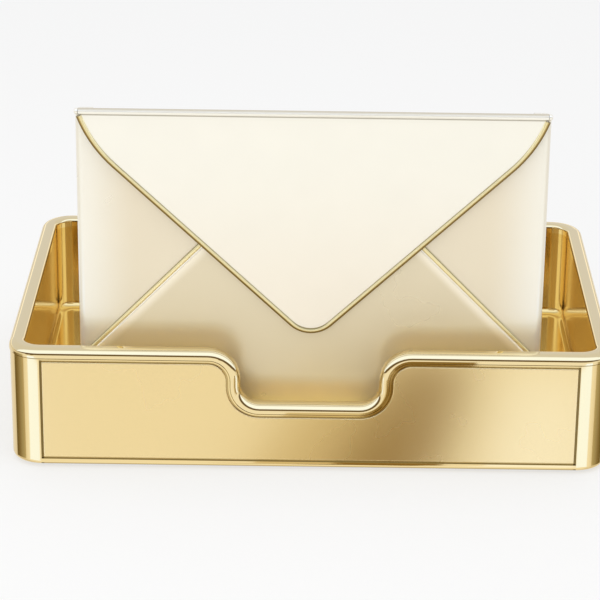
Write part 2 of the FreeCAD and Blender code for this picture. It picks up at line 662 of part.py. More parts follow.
def make_side_flap(label, side):
    flap = new_body(label)
    outline = new_sketch(flap, "outline", "XZ_Plane", JOIN_AHEAD)
    outer = f"{side} * {HALF_WIDTH}"
    corners = (
        (outer, WALL_TOP),
        (outer, ENVELOPE_LEVEL, "envelope_corner"),
        (f"{side} * side_flap_root", ENVELOPE_LEVEL),
        (f"{side} * side_flap_tip", TIP_LEVEL, "envelope_corner"),
        (f"{side} * ({HALF_WIDTH} - side_flap_top)", WALL_TOP),
    )
    draw_polygon(outline, corners)
    add_pad(flap, outline, f"{SIDE_AHEAD} - {JOIN_AHEAD}")

    def side_edge(edge):
        place = -value(SIDE_AHEAD)
        flat = abs(edge.BoundBox.YMin - place) < NEAR and abs(edge.BoundBox.YMax - place) < NEAR
        reach = value(HALF_WIDTH) - value("envelope_corner")
        return flat and abs(edge_middle(edge).x) > reach and edge_middle(edge).z < value(WALL_TOP) - NEAR

    round_edges(flap, "edge_round", side_edge, "round")
    hollow_sketch = new_sketch(flap, "hollow", "XZ_Plane", JOIN_AHEAD)
    draw_polygon(
        hollow_sketch,
        (
            (f"{side} * {inner_half}", past_top),
            (f"{side} * {inner_half}", inner_low, inner_corner),
            (f"{side} * -overrun", inner_low),
            (f"{side} * -overrun", past_top),
        ),
    )
    add_pocket(flap, hollow_sketch, f"{SIDE_AHEAD} - {JOIN_AHEAD} - front_sheet", reverse=True)


make_side_flap("left_side_flap", "-1")
make_side_flap("right_side_flap", "1")

# Bottom flap: the front of the envelope below the two seams, with a flange turned in beneath.
bottom_flap = new_body("bottom_flap")
bottom_outline = new_sketch(bottom_flap, "outline", "XZ_Plane", SIDE_AHEAD)
draw_polygon(
    bottom_outline,
    (
        (f"-{SEAM_HALF}", SEAM_FOOT),
        (f"-{SEAM_HALF}", ENVELOPE_LEVEL, "envelope_corner"),
        (SEAM_HALF, ENVELOPE_LEVEL, "envelope_corner"),
        (SEAM_HALF, SEAM_FOOT),
        (SEAM_HEAD_X, SEAM_TOP, "seam_top_round"),
        (f"-{SEAM_HEAD_X}", SEAM_TOP, "seam_top_round"),
    ),
)
add_pad(bottom_flap, bottom_outline, "bottom_sheet")


def seam_edge(edge):
    """True for the bottom flap's slanting and top edges on its front face."""
    box = edge.BoundBox
    face = -value(FRONT_AHEAD)
    flat = abs(box.YMin - face) < NEAR and abs(box.YMax - face) < NEAR
    return flat and edge_middle(edge).z > value(SEAM_FOOT) + NEAR


round_edges(bottom_flap, "seam_edge_round", seam_edge, "round")
FLANGE_HALF = "(side_flap_root - edge_sheet - fit_gap)"
flange = new_sketch(bottom_flap, "flange", "XZ_Plane", JOIN_AHEAD)
flange_top = f"{ENVELOPE_LEVEL} + edge_sheet"
draw_polygon(
    flange,
    (
        (f"-{FLANGE_HALF}", ENVELOPE_LEVEL), (FLANGE_HALF, ENVELOPE_LEVEL),
        (FLANGE_HALF, flange_top), (f"-{FLANGE_HALF}", flange_top),
    ),
)
add_pad(bottom_flap, flange, f"{SIDE_AHEAD} - {JOIN_AHEAD}")


def make_seam_bead(label, side):
    """Half-round trim wire on a side flap, against the bottom flap's slanting edge."""
    bead_body = new_body(label)
    strip = new_sketch(bead_body, "strip", "XZ_Plane", SIDE_AHEAD)
    head_x = f"({MEET_X} - seam_bead_tuck * cos(seam_slope))"
    head_z = f"({MEET_LEVEL} + seam_bead_tuck * sin(seam_slope))"
    draw_polygon(
        strip,
        (
            (f"{side} * {SEAM_HALF}", SEAM_FOOT),
            (f"{side} * {SEAM_HALF}", f"{SEAM_FOOT} + seam_bead_width / cos(seam_slope)"),
            (
                f"{side} * ({head_x} + seam_bead_width * sin(seam_slope))",
                f"{head_z} + seam_bead_width * cos(seam_slope)",
            ),
            (f"{side} * {head_x}", head_z),
        ),
    )
    add_pad(bead_body, strip, "seam_bead_height")
    top = -value(f"{SIDE_AHEAD} + seam_bead_height")

    def long_top_edge(edge):
        box = edge.BoundBox
        return box.YMax < top + NEAR and edge.Length > value("seam_foot_rise")

    round_edges(bead_body, "seam_bead_round", long_top_edge, "round")


make_seam_bead("left_seam_bead", "-1")
make_seam_bead("right_seam_bead", "1")


def make_corner_cap(label, side):
    """Cast cap that closes a top corner of the envelope and holds one end of the hinge rod."""
    cap = new_body(label)
    inner_x = f"{side} * ({HALF_WIDTH} - cap_length)"
    outer_x = f"{side} * {HALF_WIDTH}"
    plug_x = f"{side} * ({HALF_WIDTH} - edge_sheet - fit_gap)"
    block_sketch = new_sketch(cap, "block", "XZ_Plane", BACK_AHEAD)
    draw_polygon(
        block_sketch,
        ((inner_x, WALL_TOP), (outer_x, WALL_TOP), (outer_x, CAP_TOP), (inner_x, CAP_TOP)),
    )
    add_pad(cap, block_sketch, f"{SIDE_AHEAD} - {BACK_AHEAD}")

    def upright_outer(edge):
        box = edge.BoundBox
        return box.XLength < NEAR and box.YLength < NEAR and abs(box.Center.x) > value(HALF_WIDTH) - NEAR

    round_edges(cap, "edge_round", upright_outer, "round")

    def top_outline(edge):
        open_end = value(HALF_WIDTH) - value("cap_length") + NEAR
        return at_height(edge, CAP_TOP) and abs(edge_middle(edge).x) > open_end

    round_edges(cap, "cap_round", top_outline, "top")
    plug = new_sketch(cap, "plug", "XZ_Plane", f"({BACK_AHEAD} + back_sheet + fit_gap)")
    plug_low = f"{WALL_TOP} - cap_plug"
    draw_polygon(
        plug,
        ((inner_x, plug_low), (plug_x, plug_low), (plug_x, WALL_TOP), (inner_x, WALL_TOP)),
    )
    add_pad(cap, plug, "pocket_gap - 2 * fit_gap")
    ear_side = f"{side} * {LUG_INNER}"
    rightwards = side == "1"
    ear = new_sketch(cap, "ear", "YZ_Plane", ear_side)
    draw_circle(ear, f"-{HINGE_AHEAD}", "hinge_height", "barrel_radius")
    add_pad(cap, ear, "lug_width", reverse=not rightwards)

    def ear_end(edge):
        box = edge.BoundBox
        at_end = box.XLength < NEAR and abs(abs(box.Center.x) - value(HALF_WIDTH)) < NEAR
        return at_end and box.Center.y < -value(SIDE_AHEAD) - NEAR

    round_edges(cap, "ear_round", ear_end, "ear")
    web = new_sketch(cap, "web", "YZ_Plane", ear_side)
    draw_polygon(
        web,
        (
            (f"-{HINGE_AHEAD}", "hinge_height + barrel_radius"),
            (f"-{JOIN_AHEAD}", CAP_TOP),
            (f"-{JOIN_AHEAD}", WALL_TOP),
            (f"-{SIDE_AHEAD}", WALL_TOP),
            (f"-{HINGE_AHEAD}", "hinge_height - barrel_radius"),
        ),
    )
    add_pad(cap, web, "lug_width - ear_round - fit_gap", reverse=not rightwards)
    bore = new_sketch(cap, "bore", "YZ_Plane", ear_side)
    draw_circle(bore, f"-{HINGE_AHEAD}", "hinge_height", "rod_radius")
    add_pocket(cap, bore, "rod_hold", reverse=rightwards)


make_corner_cap("left_corner_cap", "-1")
make_corner_cap("right_corner_cap", "1")

# Hinge rod: runs from ear to ear and ends inside both.
rod = new_body("hinge_rod")
rod_section = new_sketch(rod, "section", "YZ_Plane")
draw_circle(rod_section, f"-{HINGE_AHEAD}", "hinge_height", "rod_radius")
add_pad(rod, rod_section, f"2 * ({LUG_INNER} + rod_hold)", symmetric=True)


def draw_flap_edge(sketch, side):
    """The closing flap's edge from its tip to one top corner; returns its first and last curve."""
    slope = math.radians(value("flap_slope"))
    tip_radius = value("flap_tip_radius")
    shoulder = value("flap_shoulder_radius")
    tip = FreeCAD.Vector(0, value(FLAP_TIP), 0)
    along = FreeCAD.Vector(math.cos(slope), math.sin(slope), 0)
    across = FreeCAD.Vector(-math.sin(slope), math.cos(slope), 0)
    tip_middle = tip + FreeCAD.Vector(0, tip_radius, 0)
    first = tip_middle - across * tip_radius
    corner = FreeCAD.Vector(value(FLAP_END), value(PIPING_TOP), 0)
    reach = corner - first - across * shoulder
    turn = math.radians(value("flap_shoulder_turn"))
    last = first + along * (reach.dot(along) - shoulder * math.sin(turn))
    bend_middle = last + across * shoulder

    def arc(middle, radius, begin, end):
        """An arc from begin to end, turning left on the right-hand side and mirrored on the other."""
        angles = [
            math.atan2(point.y - middle.y, side * (point.x - middle.x)) for point in (begin, end)
        ]
        low, high = angles if side > 0 else reversed(angles)
        if high < low:
            high += 2 * math.pi
        spot = FreeCAD.Vector(side * middle.x, middle.y, 0)
        return Part.ArcOfCircle(Part.Circle(spot, FreeCAD.Vector(0, 0, 1), radius), low, high)

    begin_end, finish_end = (1, 2) if side > 0 else (2, 1)
    tip_arc = sketch.addGeometry(arc(tip_middle, tip_radius, tip, first))
    straight = sketch.addGeometry(
        Part.LineSegment(
            FreeCAD.Vector(side * first.x, first.y, 0), FreeCAD.Vector(side * last.x, last.y, 0)
        )
    )
    bend = sketch.addGeometry(arc(bend_middle, shoulder, last, corner))
    pin_point(sketch, tip_arc, begin_end, "0", FLAP_TIP)
    sketch.addConstraint(Sketcher.Constraint("PointOnObject", tip_arc, 3, -2))
    size_arc(sketch, tip_arc, "flap_tip_radius")
    sketch.addConstraint(Sketcher.Constraint("Tangent", tip_arc, finish_end, straight, 1))
    lean = "flap_slope * 1 deg" if side > 0 else "(180 - flap_slope) * 1 deg"
    lean_now = slope if side > 0 else math.pi - slope
    index = sketch.addConstraint(Sketcher.Constraint("Angle", straight, lean_now))
    bind(sketch, f"Constraints[{index}]", lean)
    sketch.addConstraint(Sketcher.Constraint("Tangent", straight, 2, bend, begin_end))
    size_arc(sketch, bend, "flap_shoulder_radius")
    pin_point(sketch, bend, finish_end, f"{side} * {FLAP_END}", PIPING_TOP)
    return tip_arc, bend, finish_end


# Closing flap: one sheet whose top edge is rolled into a barrel that turns on the hinge rod.
closing_flap = new_body("closing_flap")
flap_outline = new_sketch(closing_flap, "outline", "XZ_Plane", FLAP_REAR)
right_tip, right_bend, right_end = draw_flap_edge(flap_outline, 1)
left_tip, left_bend, left_end = draw_flap_edge(flap_outline, -1)
flap_x = value(FLAP_END)
flap_z = value(PIPING_TOP)
hinge_z = value("hinge_height")
top_points = ((flap_x, flap_z), (flap_x, hinge_z), (-flap_x, hinge_z), (-flap_x, flap_z))
top_spots = [FreeCAD.Vector(x, z, 0) for x, z in top_points]
top_lines = [
    flap_outline.addGeometry(Part.LineSegment(begin, end))
    for begin, end in zip(top_spots, top_spots[1:])
]
flap_outline.addConstraint(Sketcher.Constraint("Coincident", top_lines[0], 1, right_bend, right_end))
flap_outline.addConstraint(Sketcher.Constraint("Coincident", top_lines[0], 2, top_lines[1], 1))
flap_outline.addConstraint(Sketcher.Constraint("Coincident", top_lines[1], 2, top_lines[2], 1))
flap_outline.addConstraint(Sketcher.Constraint("Coincident", top_lines[2], 2, left_bend, left_end))
pin_point(flap_outline, top_lines[1], 1, FLAP_END, "hinge_height")
pin_point(flap_outline, top_lines[1], 2, f"-{FLAP_END}", "hinge_height")
add_pad(closing_flap, flap_outline, "flap_sheet")
barrel = new_sketch(closing_flap, "barrel", "YZ_Plane")
draw_circle(barrel, f"-{HINGE_AHEAD}", "hinge_height", "barrel_radius")
add_pad(closing_flap, barrel, f"2 * {BARREL_END}", symmetric=True)
barrel_bore = new_sketch(closing_flap, "bore", "YZ_Plane")
draw_circle(barrel_bore, f"-{HINGE_AHEAD}", "hinge_height", "rod_radius + rod_clearance")
add_pocket(closing_flap, barrel_bore, f"2 * {BARREL_END} + overrun", symmetric=True)

# Piping: a slit tube pushed over the flap's edge, swept from the tip to each top corner.
piping = new_body("flap_piping")
path = new_sketch(piping, "path", "XZ_Plane", HINGE_AHEAD)
draw_flap_edge(path, 1)
section = new_sketch(piping, "section", "YZ_Plane")
slit = value("flap_sheet") / 2
tube = value("piping_radius")
middle = FreeCAD.Vector(-value(HINGE_AHEAD), value(FLAP_TIP), 0)
lip_rise = math.sqrt(tube ** 2 - slit ** 2)
opening = math.atan2(lip_rise, slit)
ring_arc = section.addGeometry(
    Part.ArcOfCircle(
        Part.Circle(middle, FreeCAD.Vector(0, 0, 1), tube), math.pi - opening, 2 * math.pi + opening
    )
)
slit_points = ((slit, lip_rise), (slit, 0), (-slit, 0), (-slit, lip_rise))
slit_spots = [middle + FreeCAD.Vector(x, z, 0) for x, z in slit_points]
slit_lines = [
    section.addGeometry(Part.LineSegment(begin, end)) for begin, end in zip(slit_spots, slit_spots[1:])
]
section.addConstraint(Sketcher.Constraint("Coincident", ring_arc, 2, slit_lines[0], 1))
section.addConstraint(Sketcher.Constraint("Coincident", slit_lines[0], 2, slit_lines[1], 1))
section.addConstraint(Sketcher.Constraint("Coincident", slit_lines[1], 2, slit_lines[2], 1))
section.addConstraint(Sketcher.Constraint("Coincident", slit_lines[2], 2, ring_arc, 1))
section.addConstraint(Sketcher.Constraint("Vertical", slit_lines[0]))
section.addConstraint(Sketcher.Constraint("Vertical", slit_lines[2]))
pin_point(section, ring_arc, 3, f"-{HINGE_AHEAD}", FLAP_TIP)
size_arc(section, ring_arc, "piping_radius")
pin_point(section, slit_lines[1], 1, f"-{HINGE_AHEAD} + flap_sheet / 2", FLAP_TIP)
pin_point(section, slit_lines[1], 2, f"-{HINGE_AHEAD} - flap_sheet / 2", FLAP_TIP)
sweep = piping.newObject("PartDesign::AdditivePipe", "flap_piping_sweep")
sweep.Profile = section
sweep.Spine = (path, ["Edge1", "Edge2", "Edge3"])
doc.recompute()
mirror = piping.newObject("PartDesign::Mirrored", "flap_piping_mirror")
mirror.Originals = [sweep]
mirror.MirrorPlane = (next(item for item in piping.Origin.OriginFeatures if item.Role == "YZ_Plane"), [""])
piping.Tip = mirror
doc.recompute()

# Every object has to be sound before anything is written.
for item in doc.Objects:
    if "Invalid" in item.State or "Error" in item.State:
        raise RuntimeError(f"{item.Name} failed: {item.State}")
pieces = [item for item in doc.Objects if item.TypeId in ("PartDesign::Body", "Part::Compound")]
for piece in pieces:
    if piece.Shape.isNull() or not piece.Shape.isValid():
        raise RuntimeError(f"{piece.Label} has no sound shape")
for piece in pieces:
    piece.Shape.exportStep(f"parts/{piece.Label}.step")
    print(piece.Label, len(piece.Shape.Solids), round(piece.Shape.Volume, 1))
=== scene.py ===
"""Letter tray of polished and satin gold with a rigid pearl envelope standing in it.

Metres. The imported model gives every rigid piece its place; this file gives the surfaces
their finish, lights a plain studio and stands the camera where the photograph was taken.
"""
import math

import bmesh
import bpy
from mathutils import Matrix, Vector


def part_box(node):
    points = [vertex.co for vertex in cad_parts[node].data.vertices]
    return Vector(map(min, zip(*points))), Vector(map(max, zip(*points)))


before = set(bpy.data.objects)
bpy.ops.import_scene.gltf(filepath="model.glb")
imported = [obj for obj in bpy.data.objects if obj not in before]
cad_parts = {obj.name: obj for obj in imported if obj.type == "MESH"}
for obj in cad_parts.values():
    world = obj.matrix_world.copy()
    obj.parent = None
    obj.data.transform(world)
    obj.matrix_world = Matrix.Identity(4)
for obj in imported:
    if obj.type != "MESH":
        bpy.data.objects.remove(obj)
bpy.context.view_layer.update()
scene = bpy.context.scene
scene.view_settings.view_transform = "Standard"

# Camera: a long lens, 22 degrees above the table, rolled by a fraction of a degree as the
# photograph is. The shift sets the tray right of the middle, where its right end is cropped.
CAMERA_PLACE = Vector((0.0, -1.1930, 0.5320))
CAMERA_AIM = Vector((0.0, -0.0915, 0.0870))
CAMERA_LENS = 155.04
CAMERA_SENSOR = 36.0
CAMERA_SHIFT_X = -0.0182
CAMERA_NEAREST = 0.05
CAMERA_ROLL = 0.0135
camera_data = bpy.data.cameras.new("camera")
camera_data.lens = CAMERA_LENS
camera_data.sensor_width = CAMERA_SENSOR
camera_data.shift_x = CAMERA_SHIFT_X
camera_data.clip_start = CAMERA_NEAREST
camera = bpy.data.objects.new("camera", camera_data)
scene.collection.objects.link(camera)
facing = (CAMERA_AIM - CAMERA_PLACE).to_track_quat("-Z", "Y").to_matrix().to_4x4()
camera.matrix_world = Matrix.Translation(CAMERA_PLACE) @ facing @ Matrix.Rotation(CAMERA_ROLL, 4, "Z")
scene.camera = camera

# Studio dome: what the metal mirrors, unseen by the camera. Below the horizon it is pale, and a
# little darker at the sides. Above, from front to back, come a low dark band, a bluish white
# screen, a grey ceiling and a narrow pale strip.
DOME_RADIUS = 6.0
DOME_SEGMENTS = 32
DOME_RINGS = 16
AROUND = (
    (0.00, (0.98, 0.96, 0.91)),
    (0.30, (0.98, 0.96, 0.91)),
    (0.45, (0.70, 0.64, 0.52)),
    (0.58, (0.76, 0.70, 0.60)),
    (0.70, (0.85, 0.82, 0.78)),
    (1.00, (0.88, 0.86, 0.84)),
)
OVERHEAD = (
    (0.00, (0.16, 0.11, 0.05)),
    (0.120, (0.16, 0.11, 0.05)),
    (0.155, (1.12, 1.30, 1.70)),
    (0.40, (1.12, 1.30, 1.70)),
    (0.46, (0.74, 0.76, 0.84)),
    (0.915, (0.74, 0.76, 0.84)),
    (0.935, (1.20, 1.17, 1.10)),
    (0.950, (1.20, 1.17, 1.10)),
    (0.965, (0.80, 0.78, 0.74)),
    (1.00, (0.80, 0.78, 0.74)),
)
HORIZON_LOW = -0.06
HORIZON_HIGH = 0.02
# The colour sockets of a Mix node go by number, because their names repeat.
MIX_BELOW = 6
MIX_ABOVE = 7
MIX_COLOUR = 2


def add_node(tree, kind, place, **settings):
    """A shader node at a place in its tree, with its properties set."""
    node = tree.nodes.new(kind)
    node.location = (place[0] * 200, place[1] * 200)
    for name, setting in settings.items():
        setattr(node, name, setting)
    return node


def join(tree, source, socket, target, entry):
    """Links one node's output to another node's input."""
    tree.links.new(source.outputs[socket], target.inputs[entry])


def paint_ramp(ramp, stops):
    """Sets a colour ramp's stops: position, then red, green and blue."""
    elements = ramp.color_ramp.elements
    while len(elements) > 1:
        elements.remove(elements[-1])
    for number, (position, colour) in enumerate(stops):
        element = elements[0] if number == 0 else elements.new(position)
        element.position = position
        element.color = (*colour, 1.0)


dome_mesh = bpy.data.meshes.new("dome")
dome_shape = bmesh.new()
bmesh.ops.create_uvsphere(
    dome_shape, u_segments=DOME_SEGMENTS, v_segments=DOME_RINGS, radius=DOME_RADIUS
)
dome_shape.to_mesh(dome_mesh)
dome_shape.free()
dome = bpy.data.objects.new("dome", dome_mesh)
scene.collection.objects.link(dome)
dome.visible_camera = False
dome.visible_diffuse = False
dome.visible_transmission = False
dome.visible_shadow = False
dome_material = bpy.data.materials.new("dome")
dome_material.use_nodes = True
dome_material.cycles.emission_sampling = "NONE"
walls = dome_material.node_tree
walls.nodes.clear()
direction = add_node(walls, "ShaderNodeTexCoord", (-7, 0))
unit = add_node(walls, "ShaderNodeVectorMath", (-6, 0), operation="NORMALIZE")
join(walls, direction, "Object", unit, 0)
parts = add_node(walls, "ShaderNodeSeparateXYZ", (-5, 0))
join(walls, unit, "Vector", parts, "Vector")
front = add_node(walls, "ShaderNodeMath", (-4, 1), operation="MULTIPLY")
front.inputs[1].default_value = -1.0
join(walls, parts, "Y", front, 0)
side = add_node(walls, "ShaderNodeMath", (-4, 2), operation="ABSOLUTE")
join(walls, parts, "X", side, 0)
turn = add_node(walls, "ShaderNodeMath", (-3, 2), operation="ARCTAN2")
join(walls, side, 0, turn, 0)
join(walls, front, 0, turn, 1)
turn_share = add_node(walls, "ShaderNodeMath", (-2, 2), operation="DIVIDE")
turn_share.inputs[1].default_value = math.pi
join(walls, turn, 0, turn_share, 0)
rise = add_node(walls, "ShaderNodeMath", (-3, 0), operation="ARCTAN2")
join(walls, parts, "Z", rise, 0)
join(walls, front, 0, rise, 1)
rise_share = add_node(walls, "ShaderNodeMath", (-2, 0), operation="DIVIDE")
rise_share.inputs[1].default_value = math.pi
join(walls, rise, 0, rise_share, 0)
around = add_node(walls, "ShaderNodeValToRGB", (-1, 2))
paint_ramp(around, AROUND)
join(walls, turn_share, 0, around, "Fac")
overhead = add_node(walls, "ShaderNodeValToRGB", (-1, 0))
paint_ramp(overhead, OVERHEAD)
join(walls, rise_share, 0, overhead, "Fac")
above = add_node(walls, "ShaderNodeMapRange", (-1, -2), interpolation_type="SMOOTHSTEP")
above.inputs["From Min"].default_value = HORIZON_LOW
above.inputs["From Max"].default_value = HORIZON_HIGH
join(walls, parts, "Z", above, "Value")
dome_colour = add_node(walls, "ShaderNodeMix", (1, 1), data_type="RGBA")
join(walls, above, "Result", dome_colour, "Factor")
join(walls, around, "Color", dome_colour, MIX_BELOW)
join(walls, overhead, "Color", dome_colour, MIX_ABOVE)
dome_glow = add_node(walls, "ShaderNodeEmission", (2, 1))
join(walls, dome_colour, MIX_COLOUR, dome_glow, "Color")
dome_output = add_node(walls, "ShaderNodeOutputMaterial", (3, 1))
join(walls, dome_glow, 0, dome_output, "Surface")
dome_mesh.materials.append(dome_material)

# World: plain white where the camera, metal or glass sees it, and a softer white fill for
# everything else.
FILL_LEVEL = 0.82
world = bpy.data.worlds.new("studio")
scene.world = world
world.use_nodes = True
sky = world.node_tree
sky.nodes.clear()


def direct_view(tree, place):
    """One where a camera, glossy or transmission ray arrives, and zero for a diffuse one."""
    path = add_node(tree, "ShaderNodeLightPath", place)
    first = add_node(tree, "ShaderNodeMath", (place[0] + 1, place[1]), operation="MAXIMUM")
    both = add_node(tree, "ShaderNodeMath", (place[0] + 2, place[1]), operation="MAXIMUM")
    join(tree, path, "Is Camera Ray", first, 0)
    join(tree, path, "Is Glossy Ray", first, 1)
    join(tree, first, 0, both, 0)
    join(tree, path, "Is Transmission Ray", both, 1)
    return both


sky_fill = add_node(sky, "ShaderNodeBackground", (0, 1))
sky_fill.inputs["Strength"].default_value = FILL_LEVEL
sky_white = add_node(sky, "ShaderNodeBackground", (0, -1))
for background in (sky_fill, sky_white):
    background.inputs["Color"].default_value = (1.0, 1.0, 1.0, 1.0)
sky_mix = add_node(sky, "ShaderNodeMixShader", (1, 0))
join(sky, direct_view(sky, (-3, 3)), 0, sky_mix, 0)
join(sky, sky_fill, 0, sky_mix, 1)
join(sky, sky_white, 0, sky_mix, 2)
sky_output = add_node(sky, "ShaderNodeOutputWorld", (2, 0))
join(sky, sky_mix, 0, sky_output, "Surface")

# Floor: a pale table top without an edge, nearly white to the camera and with a faint shadow.
# The metal mirrors the dome in its place, as the metal in the photograph mirrors a pale room.
FLOOR_REACH = 8.0
FLOOR_COLOUR = (0.90, 0.90, 0.90, 1.0)
FLOOR_WHITE = (0.955, 0.955, 0.955, 1.0)
FLOOR_GLOW = 0.62
FLOOR_ROUGHNESS = 0.8
FLOOR_GLOSS = 0.1
floor_mesh = bpy.data.meshes.new("floor")
corners = [(x * FLOOR_REACH, y * FLOOR_REACH, 0.0) for x, y in ((-1, -1), (1, -1), (1, 1), (-1, 1))]
floor_mesh.from_pydata(corners, [], [(0, 1, 2, 3)])
floor = bpy.data.objects.new("floor", floor_mesh)
scene.collection.objects.link(floor)
floor.visible_glossy = False
floor_material = bpy.data.materials.new("floor")
floor_material.use_nodes = True
floor_material.cycles.emission_sampling = "NONE"
table = floor_material.node_tree
floor_shader = table.nodes["Principled BSDF"]
floor_shader.inputs["Base Color"].default_value = FLOOR_COLOUR
floor_shader.inputs["Roughness"].default_value = FLOOR_ROUGHNESS
floor_shader.inputs["Specular IOR Level"].default_value = FLOOR_GLOSS
floor_glow = add_node(table, "ShaderNodeEmission", (0, -3))
floor_glow.inputs["Color"].default_value = FLOOR_WHITE
floor_share = add_node(table, "ShaderNodeMath", (1, 3), operation="MULTIPLY")
floor_share.inputs[1].default_value = FLOOR_GLOW
join(table, direct_view(table, (-3, 3)), 0, floor_share, 0)
floor_mix = add_node(table, "ShaderNodeMixShader", (2, 0))
join(table, floor_share, 0, floor_mix, 0)
join(table, floor_shader, 0, floor_mix, 1)
join(table, floor_glow, 0, floor_mix, 2)
join(table, floor_mix, 0, table.nodes["Material Output"], "Surface")
floor_mesh.materials.append(floor_material)

# Lamps: a large soft box overhead, a broad one beside the camera, and three small warm strips in
# the gap between the front wall and the envelope, where the gold wall throws its light. Each row
# is a name, place, aim, size, power and colour.
LAMP_WHITE = (1.0, 1.0, 1.0)
WALL_GLOW = (1.0, 0.82, 0.28)
LAMPS = (
    ("ceiling_box", (0.0, -0.30, 1.30), (0.0, 0.0, 0.0), (1.4, 1.4), 5.2, LAMP_WHITE),
    ("camera_box", (-0.55, -1.50, 0.75), (0.0, -0.05, 0.05), (0.8, 0.8), 4.5, LAMP_WHITE),
    ("notch_strip", (0.0, -0.0832, 0.0210), (0.0, -0.0745, 0.0270), (0.056, 0.003), 0.0050, WALL_GLOW),
    ("left_strip", (-0.072, -0.0836, 0.0500), (-0.072, -0.0745, 0.0540), (0.064, 0.004), 0.0025, WALL_GLOW),
    ("right_strip", (0.072, -0.0836, 0.0500), (0.072, -0.0745, 0.0540), (0.064, 0.004), 0.0025, WALL_GLOW),
)
for lamp_name, lamp_place, lamp_aim, lamp_size, lamp_power, lamp_colour in LAMPS:
    lamp_data = bpy.data.lights.new(lamp_name, "AREA")
    lamp_data.shape = "RECTANGLE"
    lamp_data.size, lamp_data.size_y = lamp_size
    lamp_data.energy = lamp_power
    lamp_data.color = lamp_colour
    lamp = bpy.data.objects.new(lamp_name, lamp_data)
    lamp.location = lamp_place
    lamp.rotation_euler = (Vector(lamp_aim) - Vector(lamp_place)).to_track_quat("-Z", "Y").to_euler()
    lamp.visible_camera = False
    lamp.visible_glossy = False
    scene.collection.objects.link(lamp)

# Reflector cards: seen by the metal alone. A row stands in front of the tray, mostly below the
# table's level, where the front wall mirrors it. A flag on each side, graded in tone and faded
# out at its far end and top, darkens the flanks of the corners.
CARD_DISTANCE = 0.130
CARD_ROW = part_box("front_panel")[0][1] - CARD_DISTANCE
CARD_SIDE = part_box("outer_shell")[1][0] + CARD_DISTANCE
ROW_TOP = -0.004
DARK_TOP = 0.006
ROW_FOOT = -0.110
SCREEN_WHITE = (1.10, 1.30, 1.80)
FRONT_CARDS = (
    ("left_white_card", (-0.285, -0.166), (-0.285, -0.166), (ROW_FOOT, ROW_TOP), SCREEN_WHITE),
    ("half_card", (-0.058, -0.014), (0.002, 0.046), (ROW_FOOT, ROW_TOP), (0.72, 0.62, 0.42)),
    ("dark_card", (-0.014, 0.056), (0.046, 0.088), (ROW_FOOT, DARK_TOP), (0.27, 0.17, 0.045)),
    ("right_pale_card", (0.082, 0.141), (0.104, 0.141), (ROW_FOOT, ROW_TOP), (1.12, 1.20, 1.42)),
    ("right_white_card", (0.160, 0.275), (0.160, 0.275), (ROW_FOOT, ROW_TOP), SCREEN_WHITE),
)
FLAG_NEAR = -0.149
FLAG_FAR = -0.022
FLAG_FOOT = -0.075
FLAG_TOP = 0.012
FLAG_SOFT = 0.013
FLAG_TONES = (
    (0.00, (0.56, 0.46, 0.29)), (0.18, (0.44, 0.39, 0.24)), (0.41, (0.35, 0.29, 0.17)),
    (0.54, (0.27, 0.21, 0.10)), (0.78, (0.18, 0.13, 0.05)),
)


def stage_card(name, outline):
    """A glowing card that the metal alone sees. Gives back its node tree, glow and output."""
    mesh = bpy.data.meshes.new(name)
    mesh.from_pydata(outline, [], [(0, 1, 2, 3)])
    card = bpy.data.objects.new(name, mesh)
    scene.collection.objects.link(card)
    card.visible_camera = False
    card.visible_diffuse = False
    card.visible_shadow = False
    card.visible_transmission = False
    material = bpy.data.materials.new(name)
    material.use_nodes = True
    material.cycles.emission_sampling = "NONE"
    tree = material.node_tree
    tree.nodes.clear()
    glow = add_node(tree, "ShaderNodeEmission", (0, 0))
    output = add_node(tree, "ShaderNodeOutputMaterial", (2, 0))
    join(tree, glow, 0, output, "Surface")
    mesh.materials.append(material)
    return tree, glow, output


for card_name, foot_ends, top_ends, (card_foot, card_top), card_colour in FRONT_CARDS:
    card_outline = (
        (foot_ends[0], CARD_ROW, card_foot), (foot_ends[1], CARD_ROW, card_foot),
        (top_ends[1], CARD_ROW, card_top), (top_ends[0], CARD_ROW, card_top),
    )
    card_glow = stage_card(card_name, card_outline)[1]
    card_glow.inputs["Color"].default_value = (*card_colour, 1.0)

